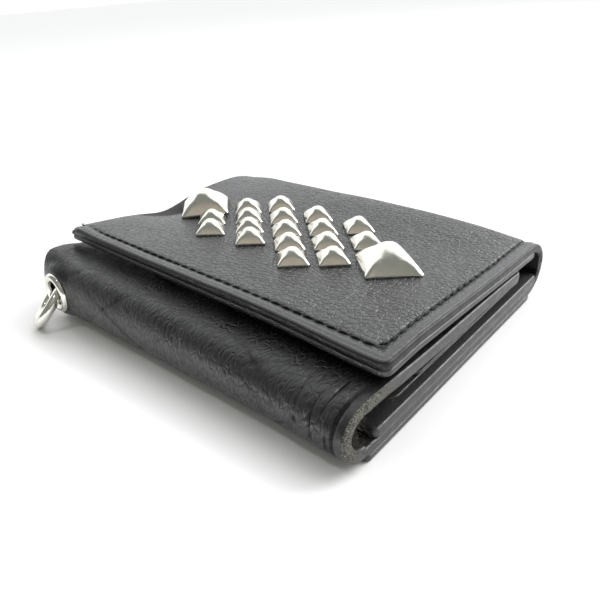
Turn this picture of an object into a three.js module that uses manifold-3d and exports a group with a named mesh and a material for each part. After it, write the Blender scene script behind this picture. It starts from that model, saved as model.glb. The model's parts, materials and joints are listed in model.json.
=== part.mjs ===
// Compact flap wallet with pyramid studs, an eyelet and a chain ring.
// Millimetres, +X along the folds, +Y from the near fold to the far fold, +Z up.
// The origin is the middle of the face that the closed wallet lies on.
import * as THREE from "three";
import { mergeVertices } from "three/addons/utils/BufferGeometryUtils.js";
import Module from "manifold-3d";

const wasm = await Module();
wasm.setup();

// Driving dimensions
const LENGTH = 97; // along the folds
const END = LENGTH / 2;
const NEAR_EDGE = -28.4; // flap's free edge
const NEAR_CREASE = -34.4; // where the near fold begins to turn
const FAR_CREASE = 39.5; // inner face of the far fold
const LEATHER = 2.0; // back, near fold and front
const FLAP_LEATHER = 1.4;
const FAR_LEATHER = 1.8;
const GAP = 0.15; // half of the gap between neighbours
const POCKET_TOP = 1.2; // slip pocket under the back panel
const BACK_BOTTOM = POCKET_TOP + 2 * GAP;
const BACK_TOP = BACK_BOTTOM + LEATHER;
const SMALL_STUD = 7.1;
const LARGE_STUD = 12.7;
const SMALL_HEIGHT = 3.4;
const LARGE_HEIGHT = 5.6;
const STUD_TURN = (46 * Math.PI) / 180; // stud sides against the flap's edges
const EYELET_X = -42;
const RING_RADIUS = 6.26; // to the middle of the wire
const RING_WIRE = 1.28;

// Smooth curve through [position, value] pairs; each slope comes from the neighbours.
function curveThrough(points) {
  const last = points.length - 1;
  const slopes = points.map((_, i) => {
    const a = points[Math.max(i - 1, 0)];
    const b = points[Math.min(i + 1, last)];
    return (b[1] - a[1]) / (b[0] - a[0]);
  });
  return (u) => {
    let i = 0;
    while (i < last - 1 && u > points[i + 1][0]) i += 1;
    const [u0, v0] = points[i];
    const [u1, v1] = points[i + 1];
    const h = u1 - u0;
    const t = (u - u0) / h;
    const rise = (2 * t - 3) * t * t;
    const start = t * (t - 1) * (t - 1) * h * slopes[i];
    const stop = t * t * (t - 1) * h * slopes[i + 1];
    return v0 * (1 + rise) - v1 * rise + start + stop;
  };
}

// Surface from three profiles over y: at the left end, in the middle and at the right end.
function surfaceFrom(stations, left, middle, right) {
  const profile = (heights) => curveThrough(stations.map((y, i) => [y, heights[i]]));
  const [l, m, r] = [profile(left), profile(middle), profile(right)];
  return (x, y) => {
    const w = x / END;
    return (l(y) * w * (w - 1)) / 2 + m(y) * (1 - w * w) + (r(y) * w * (w + 1)) / 2;
  };
}

const flapTop = surfaceFrom(
  [0, 15, 30, 45, 60, 68].map((d) => NEAR_EDGE + d),
  [21.4, 20.2, 18.2, 19.4, 18.9, 18.4],
  [19.2, 18.6, 17.6, 17.0, 16.9, 16.0],
  [17.5, 16.55, 15.65, 14.7, 13.9, 13.6],
);
const frontTop = surfaceFrom(
  [-6, 4, 15, 30, 45, 58].map((d) => NEAR_EDGE + d),
  [17.7, 16.6, 15.1, 14.2, 14.0, 13.4],
  [15.3, 14.2, 13.2, 12.7, 12.4, 11.8],
  [12.9, 12.5, 12.0, 11.5, 11.0, 10.3],
);
const nearFace = curveThrough(
  [[-END, -38.8], [-42, -39.7], [-25, -40.2], [0, -40.2], [25, -40.7], [END, -41.5]],
);
const foldTop = (x) => 15.3 - 0.0495 * x;
const foldSkew = (x) => -0.15 - 0.0072 * x;
const farTop = (x) => flapTop(x, FAR_CREASE);

// Solids
function bufferFrom(positions, indices) {
  const geometry = new THREE.BufferGeometry();
  geometry.setAttribute("position", new THREE.Float32BufferAttribute(positions, 3));
  geometry.setIndex(indices);
  return geometry;
}

// Closed sheet between an outer and an inner face. Each face is a function of x and t (0 to 1)
// that gives [y, z]; with t growing, the outer face lies to the left of the walk seen along +X.
function sheet(xs, steps, outer, inner) {
  const positions = [];
  const indices = [];
  const row = steps + 1;
  const far = xs.length * row;
  for (const face of [outer, inner]) {
    for (const x of xs) {
      for (let j = 0; j <= steps; j += 1) positions.push(x, ...face(x, j / steps));
    }
  }
  const quad = (a, b, c, d) => indices.push(a, b, c, a, c, d);
  for (let i = 0; i < xs.length - 1; i += 1) {
    for (let j = 0; j < steps; j += 1) {
      const a = i * row + j;
      quad(a, a + row, a + row + 1, a + 1);
      quad(far + a, far + a + 1, far + a + row + 1, far + a + row);
    }
    const low = i * row;
    const high = low + steps;
    quad(low, far + low, far + low + row, low + row);
    quad(high, high + row, far + high + row, far + high);
  }
  for (let j = 0; j < steps; j += 1) {
    const right = (xs.length - 1) * row + j;
    quad(j, j + 1, far + j + 1, far + j);
    quad(right, far + right, far + right + 1, right + 1);
  }
  return bufferFrom(positions, indices);
}

// Positions along x, closer together at rounded ends.
function stations(low, high, corner = 0, count = 10) {
  const ends = [0, 0.12, 0.45].map((f) => f * corner);
  const from = low + corner;
  const to = high - corner;
  const middle = Array.from({ length: count + 1 }, (_, i) => from + ((to - from) * i) / count);
  if (!corner) return middle;
  return [...ends.map((d) => low + d), ...middle, ...ends.map((d) => high - d).reverse()];
}

// Flat or curved layer between two heights, its near corners rounded in plan.
function layer({ x, y, top, bottom, corner = 0, count = 10, steps = 8 }) {
  const setBack = (at) => {
    const d = Math.min(at - x[0], x[1] - at);
    return d >= corner ? 0 : corner - Math.sqrt(Math.max(0, corner ** 2 - (corner - d) ** 2));
  };
  const along = (at, t) => THREE.MathUtils.lerp(y[0] + setBack(at), y[1], t);
  const face = (height) => (at, t) => [along(at, t), height(at, along(at, t))];
  return sheet(stations(x[0], x[1], corner, count), steps, face(top), face(bottom));
}

const level = (z) => () => z;
const below = (surface, depth) => (x, y) => surface(x, y) - depth;

function toSolid(geometry, matrix) {
  const bare = geometry.index ? geometry.toNonIndexed() : geometry.clone();
  bare.deleteAttribute("normal");
  bare.deleteAttribute("uv");
  if (matrix) bare.applyMatrix4(matrix);
  const merged = mergeVertices(bare, 1e-4);
  const mesh = new wasm.Mesh({
    numProp: 3,
    vertProperties: merged.attributes.position.array,
    triVerts: new Uint32Array(merged.index.array),
  });
  return new wasm.Manifold(mesh);
}

function fromSolid(solid) {
  const mesh = solid.getMesh();
  return bufferFrom([...mesh.vertProperties], [...mesh.triVerts]);
}

const join = (...parts) => fromSolid(parts.reduce((a, b) => a.add(b)));
const cut = (body, tools) =>
  fromSolid(tools.reduce((solid, tool) => solid.subtract(tool), toSolid(body)));

function boxSolid(size, centre) {
  const place = new THREE.Matrix4().makeTranslation(...centre);
  return toSolid(new THREE.BoxGeometry(...size), place);
}

// Turned shape about Z from [radius, height] points.
function turned(points, segments = 20) {
  const profile = points.map(([r, z]) => new THREE.Vector2(r, z));
  const lathe = new THREE.LatheGeometry(profile, segments);
  return lathe.applyMatrix4(new THREE.Matrix4().makeRotationX(Math.PI / 2));
}

// Frame that stands on a surface: Z along its normal, X turned by an angle.
function frameOn(surface, x, y, turn = 0) {
  const e = 0.5;
  const slopeX = (surface(x + e, y) - surface(x - e, y)) / (2 * e);
  const slopeY = (surface(x, y + e) - surface(x, y - e)) / (2 * e);
  const normal = new THREE.Vector3(-slopeX, -slopeY, 1).normalize();
  const along = new THREE.Vector3(Math.cos(turn), Math.sin(turn), 0);
  along.addScaledVector(normal, -along.dot(normal)).normalize();
  const across = new THREE.Vector3().crossVectors(normal, along);
  const frame = new THREE.Matrix4().makeBasis(along, across, normal);
  return frame.setPosition(x, y, surface(x, y));
}

// Materials
const black = (color, roughness) => new THREE.MeshStandardMaterial({ color, roughness });
const metal = (color, roughness) =>
  new THREE.MeshStandardMaterial({ color, roughness, metalness: 1 });
const grainLeather = black(0x1c1c1d, 0.55);
const innerLeather = black(0x242322, 0.8);
const nickel = metal(0xc9c3b8, 0.22);
const steel = metal(0x9d9a94, 0.35);

const wallet = new THREE.Group();
function add(name, geometry, material, frame) {
  const mesh = new THREE.Mesh(geometry, material);
  mesh.name = name;
  if (frame) mesh.applyMatrix4(frame);
  wallet.add(mesh);
}

// Back panel and its pockets
function addBack() {
  add("back_slip_pocket", layer({
    x: [-35, END - 0.5],
    y: [NEAR_CREASE - 0.6, FAR_CREASE - 3.9],
    top: level(POCKET_TOP),
    bottom: level(0),
    corner: 2.5,
    count: 6,
    steps: 4,
  }), grainLeather);
  add("back_leather", layer({
    x: [-END, END],
    y: [NEAR_CREASE + GAP, FAR_CREASE - GAP],
    top: level(BACK_TOP),
    bottom: level(BACK_BOTTOM),
    count: 6,
    steps: 4,
  }), grainLeather);
  const inner = [
    ["bill_lining", 0, 0.6, END - 0.5, [-29.2, 38.2]],
    ["card_pocket_1", 0.9, 1.4, END - 2, [-24, 28]],
    ["card_pocket_2", 1.7, 2.2, END - 2, [-16, 28]],
  ];
  for (const [name, low, high, half, y] of inner) {
    const base = BACK_TOP + 2 * GAP;
    add(name, layer({
      x: [-half, half],
      y,
      top: level(base + high),
      bottom: level(base + low),
      corner: 2,
      count: 6,
      steps: 4,
    }), innerLeather);
  }
}

// Near fold: half an ellipse from the lower crease to the upper one, seen along X.
const toRadians = THREE.MathUtils.degToRad;
function nearFoldPoint(x, angle, depth) {
  const reach = NEAR_CREASE - nearFace(x) - depth;
  const half = (foldTop(x) - BACK_BOTTOM) / 2;
  const middle = (foldTop(x) + BACK_BOTTOM) / 2;
  const y = NEAR_CREASE - Math.cos(angle) * (reach - foldSkew(x) * Math.sin(angle));
  return [y, middle + (half - depth) * Math.sin(angle)];
}

function eyeletFrame() {
  const e = 0.01;
  const at = (x, angle, depth) => new THREE.Vector3(x, ...nearFoldPoint(x, angle, depth));
  const alongX = at(EYELET_X + e, 0, 0).sub(at(EYELET_X - e, 0, 0));
  const alongFold = at(EYELET_X, e, 0).sub(at(EYELET_X, -e, 0));
  const outward = new THREE.Vector3().crossVectors(alongX, alongFold).normalize();
  const across = new THREE.Vector3(0, 0, 1).cross(outward).normalize();
  const up = new THREE.Vector3().crossVectors(outward, across);
  const frame = new THREE.Matrix4().makeBasis(across, up, outward);
  const centre = at(EYELET_X, 0, LEATHER / 2).addScaledVector(outward, 0.15);
  return frame.setPosition(centre);
}

const LIP = 1.1; // rounding radius of the eyelet's mouth
const LIP_RING = 4.05; // radius at which the rounding is centred
const WAIST = 0.4; // half length of the eyelet's straight bore
function lipArc(centre, from, to, side) {
  return Array.from({ length: 5 }, (_, i) => {
    const angle = toRadians(from + ((to - from) * i) / 4);
    return [LIP_RING + side * LIP * Math.cos(angle), centre + LIP * Math.sin(angle)];
  });
}

function addNearFold() {
  const outerSweep = toRadians(81); // cut back, so that the crease can open
  const innerSweep = toRadians(88);
  const shell = sheet(
    stations(-END, END, 0, 14),
    12,
    (x, t) => nearFoldPoint(x, outerSweep * (2 * t - 1), 0),
    (x, t) => nearFoldPoint(x, innerSweep * (2 * t - 1), LEATHER),
  );
  const frame = eyeletFrame();
  const web = 0.4; // half of the leather's thickness where the eyelet pinches it
  const disc = (radius, low, high) =>
    toSolid(turned([[0, low], [radius, low], [radius, high], [0, high]]), frame);
  const hole = disc(3.9, -5, 5);
  const seats = [disc(5.45, web, 5), disc(5.45, -5, -web)];
  add("near_fold_leather", cut(shell, [hole, ...seats]), grainLeather);
  const flange = web + GAP;
  const eyelet = [
    ...lipArc(WAIST, 0, 90, 1).filter(([, z]) => z > flange),
    ...lipArc(WAIST, 90, 0, -1).slice(1),
    ...lipArc(-WAIST, 0, -75, -1),
    [3.6, -WAIST - 0.9],
    [3.6, flange],
    [LIP_RING + LIP - 0.02, flange],
  ];
  add("eyelet", turned([...eyelet, eyelet[0]], 28), nickel, frame);
  const washer = [[3.9, -1.4], [4.8, -1.4], [5.15, -1.1], [5.15, -flange], [3.9, -flange]];
  add("eyelet_washer", turned([...washer, washer[0]]), steel, frame);
}

// Front panel, folded over the back panel, with its lining and coin pocket
const SNAP = { x: 0, y: NEAR_EDGE + 8 };
function addFront() {
  const tip = NEAR_EDGE + 58;
  const frame = frameOn(frontTop, SNAP.x, SNAP.y);
  const panel = layer({
    x: [-END, END],
    y: [NEAR_CREASE + GAP, tip],
    top: frontTop,
    bottom: below(frontTop, LEATHER),
  });
  const postHole = toSolid(turned([[0, -4], [1.35, -4], [1.35, 4], [0, 4]]), frame);
  add("front_leather", cut(panel, [postHole]), grainLeather);
  add("front_lining", layer({
    x: [-END + 0.5, END - 0.5],
    y: [NEAR_EDGE - 0.8, tip - 0.6],
    top: below(frontTop, 2.9),
    bottom: below(frontTop, 3.4),
  }), innerLeather);
  add("coin_pocket", layer({
    x: [-END + 4, 20],
    y: [NEAR_EDGE + 5, NEAR_EDGE + 45],
    top: below(frontTop, 3.7),
    bottom: below(frontTop, 4.8),
    steps: 6,
  }), innerLeather);
  const stud = [
    [0, -2.1], [1.0, -2.1], [1.0, 0.15], [4.2, 0.15], [4.2, 0.3], [3.9, 0.45],
    [1.7, 0.5], [1.7, 0.85], [2.15, 1.1], [2.1, 1.4], [1.6, 1.6], [0, 1.65],
  ];
  add("snap_stud", turned(stud), nickel, frame);
  const rivet = [[0, -2.65], [3.6, -2.65], [4, -2.5], [4, -2.35], [0, -2.35]];
  add("snap_rivet_cap", turned(rivet), steel, frame);
}

// Far fold: a strip between the lower and the upper crease
function addFarFold() {
  const strip = (y0, y1, low, drop) => sheet(
    stations(-END, END, 0, 8),
    3,
    (x, t) => [y1, THREE.MathUtils.lerp(farTop(x) - drop, low, t)],
    (x, t) => [y0, THREE.MathUtils.lerp(farTop(x) - drop, low, t)],
  );
  const outer = strip(FAR_CREASE, FAR_CREASE + FAR_LEATHER, BACK_TOP + GAP, FLAP_LEATHER + GAP);
  add("far_fold_leather", outer, grainLeather);
  const lining = strip(FAR_CREASE - 0.8, FAR_CREASE - 0.3, BACK_TOP + 1.7, FLAP_LEATHER + 2.2);
  add("far_fold_lining", lining, innerLeather);
}

// Pyramid stud: square rings that shrink towards the apex, with slightly pillowed faces.
function pyramid(side, height) {
  const rings = [1, 0.8, 0.55, 0.28];
  const skirt = 0.45;
  const walk = [[1, 1], [0, 1], [-1, 1], [-1, 0], [-1, -1], [0, -1], [1, -1], [1, 0]];
  const positions = [];
  const indices = [];
  const addRing = (scale, z) => {
    for (const [u, v] of walk) positions.push((u * side * scale) / 2, (v * side * scale) / 2, z);
  };
  addRing(1, 0);
  for (const m of rings) addRing(m, skirt + (height - skirt) * (1 - m ** 1.25));
  for (let ring = 0; ring < rings.length; ring += 1) {
    for (let i = 0; i < 8; i += 1) {
      const a = ring * 8 + i;
      const b = ring * 8 + ((i + 1) % 8);
      indices.push(a, b, b + 8, a, b + 8, a + 8);
    }
  }
  const apex = positions.length / 3;
  positions.push(0, 0, height, 0, 0, 0);
  for (let i = 0; i < 8; i += 1) {
    const next = (i + 1) % 8;
    indices.push(apex - 8 + i, apex - 8 + next, apex);
    indices.push(next, i, apex + 1);
  }
  return bufferFrom(positions, indices);
}

// A stud's legs go through slits in the flap and are bent inwards under it.
const LEG = { thick: 0.45, wide: 1.5, foot: 0.3, drop: FLAP_LEATHER + 0.25 };
function studLegs(side) {
  const large = side > 10;
  const reach = side / 2 - (large ? 1.9 : 0.8);
  const angles = large ? [0, 90, 180, 270] : [0, 180];
  return angles.map((angle) => ({ angle: toRadians(angle), reach, foot: large ? 2.2 : 1.5 }));
}

function legSolid({ angle, reach, foot }) {
  const bottom = -LEG.drop - LEG.foot;
  const rise = 1.2;
  const leg = boxSolid([LEG.thick, LEG.wide, rise - bottom], [reach, 0, (rise + bottom) / 2]);
  const bend = boxSolid([foot, LEG.wide, LEG.foot], [reach - foot / 2, 0, bottom + LEG.foot / 2]);
  const turn = new THREE.Matrix4().makeRotationZ(angle);
  return leg.add(bend).transform(turn.elements);
}

function slitSolid({ angle, reach }, frame) {
  const slit = new THREE.BoxGeometry(LEG.thick + 0.5, LEG.wide + 0.5, 6);
  const place = new THREE.Matrix4().makeTranslation(reach, 0, 0);
  const turn = new THREE.Matrix4().makeRotationZ(angle);
  return toSolid(slit, frame.clone().multiply(turn).multiply(place));
}

// How far the flap's curve rises into a stud's flat base.
function baseLift(frame, side) {
  const back = frame.clone().invert();
  const half = side / 2;
  const walk = [-1, -0.5, 0, 0.5, 1];
  const rises = walk.flatMap((u) => walk.map((v) => {
    const world = new THREE.Vector3(u * half, v * half, 0).applyMatrix4(frame);
    world.z = flapTop(world.x, world.y);
    return world.applyMatrix4(back).z;
  }));
  return Math.max(...rises) + 0.12;
}

// Places in the studs' own axes, measured from the middle of the flap's near edge:
// p runs away from the left end, q towards the far left corner.
const STUD_COLUMNS = [
  { p: 2.5, q: 29.0, pitch: 8.2, count: 2 },
  { p: 12.3, q: 21.3, pitch: 7.6, count: 4 },
  { p: 21.5, q: 7.2, pitch: 9.2, count: 5 },
  { p: 30.6, q: 6.5, pitch: 9.25, count: 4 },
  { p: 39.9, q: 14.8, pitch: 10.4, count: 2 },
];
const LARGE_STUDS = [{ p: 42.1, q: 2.0 }, { p: 0.5, q: 47.5 }];

function studPlace(p, q) {
  const [c, s] = [Math.cos(STUD_TURN), Math.sin(STUD_TURN)];
  return { x: p * c - q * s, y: NEAR_EDGE + p * s + q * c };
}

function studList() {
  const small = STUD_COLUMNS.flatMap(({ p, q, pitch, count }, column) =>
    Array.from({ length: count }, (_, row) => ({
      name: `stud_small_${column + 1}_${row + 1}`,
      side: SMALL_STUD,
      height: SMALL_HEIGHT,
      ...studPlace(p, q + pitch * row),
    })));
  const large = LARGE_STUDS.map(({ p, q }, i) => ({
    name: `stud_large_${i + 1}`,
    side: LARGE_STUD,
    height: LARGE_HEIGHT,
    ...studPlace(p, q),
  }));
  return [...small, ...large];
}

// Flap with its lining, studs and the socket half of the snap
function addFlap() {
  const snapFrame = frameOn(flapTop, SNAP.x, SNAP.y);
  const slits = [];
  for (const { name, side, height, x, y } of studList()) {
    const frame = frameOn(flapTop, x, y, STUD_TURN);
    const legs = studLegs(side);
    slits.push(...legs.map((leg) => slitSolid(leg, frame)));
    const lifted = new THREE.Matrix4().makeTranslation(0, 0, baseLift(frame, side));
    const body = toSolid(pyramid(side, height), lifted);
    add(name, join(body, ...legs.map(legSolid)), nickel, frame);
  }
  const panel = layer({
    x: [-END, END],
    y: [NEAR_EDGE, FAR_CREASE - GAP],
    top: flapTop,
    bottom: below(flapTop, FLAP_LEATHER),
    corner: 3.5,
  });
  add("flap_leather", cut(panel, slits), grainLeather);
  const lining = layer({
    x: [-END + 0.4, END - 0.4],
    y: [NEAR_EDGE + 0.4, FAR_CREASE - 3],
    top: below(flapTop, 2.25),
    bottom: below(flapTop, 2.8),
    corner: 3.5,
  });
  const linerHole = toSolid(turned([[0, -5], [1.9, -5], [1.9, 0], [0, 0]]), snapFrame);
  add("flap_lining", cut(lining, [linerHole]), innerLeather);
  const cap = [[0, -3.25], [1.5, -3.25], [1.5, -1.95], [5, -1.95], [5, -1.65], [0, -1.65]];
  add("snap_cap", turned(cap), steel, snapFrame);
  const socket = [
    [1.8, -2.95], [1.8, -3.4], [2.8, -3.4], [2.8, -4.3],
    [4.3, -4.3], [4.7, -4.0], [4.7, -3.2], [4.4, -2.95],
  ];
  add("snap_socket", turned([...socket, socket[0]]), nickel, snapFrame);
}

// Ring: a closed hoop through the eyelet and round the fold's cut edge
function addRing() {
  const normal = new THREE.Vector3(-0.45, -0.591, 0.67).normalize();
  const ring = new THREE.TorusGeometry(RING_RADIUS, RING_WIRE, 10, 32);
  const turn = new THREE.Quaternion().setFromUnitVectors(new THREE.Vector3(0, 0, 1), normal);
  const frame = new THREE.Matrix4().makeRotationFromQuaternion(turn);
  add("chain_ring", ring, nickel, frame.setPosition(-45.88, -39.98, 5.96));
}

addBack();
addNearFold();
addFront();
addFarFold();
addFlap();
addRing();

export default wallet;
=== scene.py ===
import json

import bpy
import numpy as np
from mathutils import Matrix, Vector


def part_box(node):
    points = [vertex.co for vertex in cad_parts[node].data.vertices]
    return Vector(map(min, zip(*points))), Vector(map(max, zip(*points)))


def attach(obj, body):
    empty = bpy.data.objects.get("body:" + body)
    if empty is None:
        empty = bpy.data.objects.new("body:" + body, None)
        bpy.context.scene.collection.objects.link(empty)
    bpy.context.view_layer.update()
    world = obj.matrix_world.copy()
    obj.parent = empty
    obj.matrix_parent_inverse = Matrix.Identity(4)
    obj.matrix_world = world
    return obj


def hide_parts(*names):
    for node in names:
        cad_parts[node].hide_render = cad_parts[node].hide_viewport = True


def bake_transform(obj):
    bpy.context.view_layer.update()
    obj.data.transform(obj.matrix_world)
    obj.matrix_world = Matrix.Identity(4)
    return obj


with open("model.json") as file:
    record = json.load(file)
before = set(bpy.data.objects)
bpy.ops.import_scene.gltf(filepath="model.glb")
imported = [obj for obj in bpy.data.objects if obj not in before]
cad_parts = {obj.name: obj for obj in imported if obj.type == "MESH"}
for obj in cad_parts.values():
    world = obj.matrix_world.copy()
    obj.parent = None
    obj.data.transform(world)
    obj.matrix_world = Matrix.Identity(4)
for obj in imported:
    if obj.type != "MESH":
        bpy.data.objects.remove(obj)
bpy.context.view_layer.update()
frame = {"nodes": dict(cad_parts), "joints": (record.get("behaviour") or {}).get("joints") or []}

MM = 0.001
RNG = np.random.default_rng(7)

# ---- dimensions, mm
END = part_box("flap_leather")[1].x / MM  # half the wallet's length
NEAR_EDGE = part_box("flap_leather")[0].y / MM  # the flap's free edge
JOINT = {j["name"]: [c / MM for c in j["pos_m"]] for j in frame["joints"]}
NEAR_CREASE = JOINT["near_fold_crease"][1]
BACK_BOTTOM = 1.5  # the slip pocket lies below it
FRONT_TIP = 29.6
SPINE_Y = 34.8  # where the flap starts to curve down into the far fold
SPINE_REACH = 6.5
SEAM_ANGLE = -80  # the near fold meets the back panel here, under the wallet
SIDE_SLOPE = 0.0495  # the wallet gets thinner to the right


# ---- curves and surfaces
def curve_through(points):
    """Smooth function through the given pairs."""
    u, v = np.array(points, float).T
    last = len(u) - 1
    low = np.maximum(np.arange(last + 1) - 1, 0)
    high = np.minimum(np.arange(last + 1) + 1, last)
    slope = (v[high] - v[low]) / (u[high] - u[low])

    def value(x):
        x = np.asarray(x, float)
        i = np.clip(np.searchsorted(u, x) - 1, 0, last - 1)
        h = u[i + 1] - u[i]
        t = (x - u[i]) / h
        rise = (2 * t - 3) * t * t
        start = t * (t - 1) ** 2 * h * slope[i]
        stop = t * t * (t - 1) * h * slope[i + 1]
        return v[i] * (1 + rise) - v[i + 1] * rise + start + stop

    return value


def surface_from(stations, left, middle, right):
    """Height over x and y, from heights at the left end, the middle and the right end.
    The stations are distances from the flap's free edge."""
    stations = [NEAR_EDGE + d for d in stations]
    low, mid, high = (curve_through(list(zip(stations, h))) for h in (left, middle, right))

    def value(x, y):
        w = np.asarray(x, float) / END
        return low(y) * w * (w - 1) / 2 + mid(y) * (1 - w * w) + high(y) * w * (w + 1) / 2

    return value


flap_top = surface_from(
    [0, 15, 30, 45, 60, 68],
    [21.4, 20.2, 18.2, 19.4, 18.9, 18.4],
    [19.2, 18.6, 17.6, 17.0, 16.9, 16.0],
    [17.5, 16.55, 15.65, 14.7, 13.9, 13.6],
)
front_top = surface_from(
    [-6, 4, 15, 30, 45, 58],
    [17.7, 16.6, 15.1, 14.2, 14.0, 13.4],
    [15.3, 14.2, 13.2, 12.7, 12.4, 11.8],
    [12.9, 12.5, 12.0, 11.5, 11.0, 10.3],
)
near_face = curve_through(
    [(-END, -38.8), (-42, -39.7), (-25, -40.2), (0, -40.2), (25, -40.7), (END, -41.5)])


def fold_top(x):
    return 15.3 - SIDE_SLOPE * x


def fold_skew(x):
    """How much further the near fold bulges below its middle than above it."""
    return -0.15 - 0.0072 * x


def near_fold(x, angle):
    """Outer face of the near fold, from -90 (underneath) to 90 degrees (on top)."""
    a = np.radians(angle)
    reach = NEAR_CREASE - near_face(x)
    half = (fold_top(x) - BACK_BOTTOM) / 2
    y = NEAR_CREASE - np.cos(a) * (reach - fold_skew(x) * np.sin(a))
    z = BACK_BOTTOM + half * (1 + np.sin(a))
    slope = (front_top(x, NEAR_CREASE + 2) - front_top(x, NEAR_CREASE)) / 2
    return y, z + slope * (y - NEAR_CREASE) * np.maximum(np.sin(a), 0) ** 2


def far_fold(x, angle):
    """Outer face of the far fold, from -90 (underneath) to 90 degrees (on top)."""
    a = np.radians(angle)
    top = flap_top(x, SPINE_Y)
    y = SPINE_Y + SPINE_REACH * np.cos(a)
    z = BACK_BOTTOM + (top - BACK_BOTTOM) / 2 * (1 + np.sin(a))
    slope = (top - flap_top(x, SPINE_Y - 2)) / 2
    return y, z + slope * (y - SPINE_Y) * np.maximum(np.sin(a), 0) ** 2


def smooth(low, high, x):
    t = np.clip((x - low) / (high - low), 0, 1)
    return t * t * (3 - 2 * t)


def lobe(x, at, width):
    """Bump of height 1 around at."""
    return np.exp(-(((x - at) / width) ** 2))


def stations(low, high, fine, coarse, reach_low=0.0, reach_high=0.0):
    """Positions from low to high, closer together within a reach of either end."""
    at = [low]
    while at[-1] < high:
        near = at[-1] < low + reach_low or at[-1] > high - reach_high
        at.append(at[-1] + (fine if near else coarse))
    at = np.array(at)
    return low + (at - low) * (high - low) / (at[-1] - low)


def slopes(surface, x, y, step):
    along_x = (surface(x + step, y) - surface(x - step, y)) / (2 * step)
    along_y = (surface(x, y + step) - surface(x, y - step)) / (2 * step)
    return along_x, along_y


def placed(along, normal, at):
    """4x4 placement from two axes and a point."""
    place = np.eye(4)
    place[:3, 0], place[:3, 1], place[:3, 2], place[:3, 3] = along, np.cross(normal, along), normal, at
    return place


# ---- meshes
def new_object(name, data):
    obj = bpy.data.objects.new(name, data)
    bpy.context.scene.collection.objects.link(obj)
    return obj


def build(name, verts, faces, materials, index=None, layers=None, sharp=None):
    """Smooth object from vertices in mm. index gives each face's material, layers are point
    attributes, and edges between two vertices in sharp stay sharp."""
    mesh = bpy.data.meshes.new(name)
    mesh.from_pydata((np.asarray(verts) * MM).tolist(), [], [list(map(int, f)) for f in faces])
    for m in materials:
        mesh.materials.append(m)
    if index is not None:
        mesh.polygons.foreach_set("material_index", np.asarray(index, np.int32))
    mesh.polygons.foreach_set("use_smooth", np.full(len(mesh.polygons), True))
    for key, values in {"rest": verts, **(layers or {})}.items():
        values = np.asarray(values, np.float32)
        kind = "FLOAT_VECTOR" if values.ndim == 2 else "FLOAT"
        field = mesh.attributes.new(key, kind, "POINT")
        field.data.foreach_set("vector" if values.ndim == 2 else "value", values.ravel())
    if sharp is not None:
        edges = np.zeros(len(mesh.edges) * 2, np.int32)
        mesh.edges.foreach_get("vertices", edges)
        edges = edges.reshape(-1, 2)
        chosen = np.zeros(len(verts), bool)
        chosen[sharp] = True
        field = mesh.attributes.new("sharp_edge", "BOOLEAN", "EDGE")
        field.data.foreach_set("value", chosen[edges].all(1))
    mesh.validate()
    mesh.update()
    return new_object(name, mesh)


def unit(v):
    return v / np.maximum(np.linalg.norm(v, axis=-1, keepdims=True), 1e-9)


def grid_normals(p):
    return unit(np.cross(np.gradient(p, axis=0), np.gradient(p, axis=1)))


def set_back(x, half, radius):
    """How far a rounded corner takes the end of a column back from a square one."""
    d = np.clip(radius - (half - np.abs(x)), 0, radius)
    return radius - np.sqrt(np.maximum(radius**2 - d**2, 0))


CORNER_STEPS = np.sin(np.radians(90 - np.array([0, 11, 22, 33, 44, 55, 66, 78])))


def corner_stations(xs, half, left, right):
    """The stations of xs, with those inside the two ends' rounded corners spaced along the arc."""
    low = -(half - left + left * CORNER_STEPS) if left > 0 else np.zeros(0)
    high = half - right + right * CORNER_STEPS if right > 0 else np.zeros(0)
    inner = xs[(xs > -half + max(left, 0) + 0.02) & (xs < half - max(right, 0) - 0.02)]
    if left <= 0:
        inner = np.concatenate([[-half], inner])
    if right <= 0:
        inner = np.concatenate([inner, [half]])
    return np.concatenate([low, inner, high[::-1]])


# Edge sections, from the outer face to the inner one: (how far out, how far down), both 0 to 1.
ROUND = [(np.sin(a), (1 - np.cos(a)) / 2) for a in np.linspace(0, np.pi, 9)]
TOP = [(np.sin(a) ** 0.8, (1 - np.cos(a)) / 2) for a in np.linspace(0, np.pi / 2, 6)]
TOP += [(1.0, 0.72), (1.0, 0.94), (0.98, 1.0)]
SQUARE = [(1.0 if 0 < k < 8 else 0.95, k / 8) for k in range(9)]
RINGS = 7  # vertices between the two ends of an edge section


def lay_out(path, xs, qs, half, bulge, corners, left_corner, butt):
    """Grid over path, set back at rounded corners: its points, how far along its line each one
    is, and how long each line is."""
    fine_q = np.unique(np.concatenate([np.linspace(qs[0], qs[-1], 500), qs]))
    points = np.zeros((len(xs), len(qs), 3))
    along = np.zeros((len(xs), len(qs)))
    total = np.zeros(len(xs))
    for i, x in enumerate(xs):
        y, z = path(np.full_like(fine_q, x), fine_q)
        s = np.concatenate([[0], np.cumsum(np.hypot(np.diff(y), np.diff(z)))])
        total[i] = s[-1]
        trims = []
        for end in (0, 1):
            radius = corners[end] if x > 0 or left_corner is None else min(corners[end], left_corner)
            back = set_back(x, half - bulge, max(radius - bulge, 0))
            trims.append(0 if butt[end] else bulge + back)
        base = np.interp(qs, fine_q, s)
        along[i] = trims[0] + base * (s[-1] - trims[0] - trims[1]) / s[-1]
        points[i] = np.stack([np.full(len(qs), x), *(np.interp(along[i], s, v) for v in (y, z))], -1)
    return points, along, total


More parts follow.
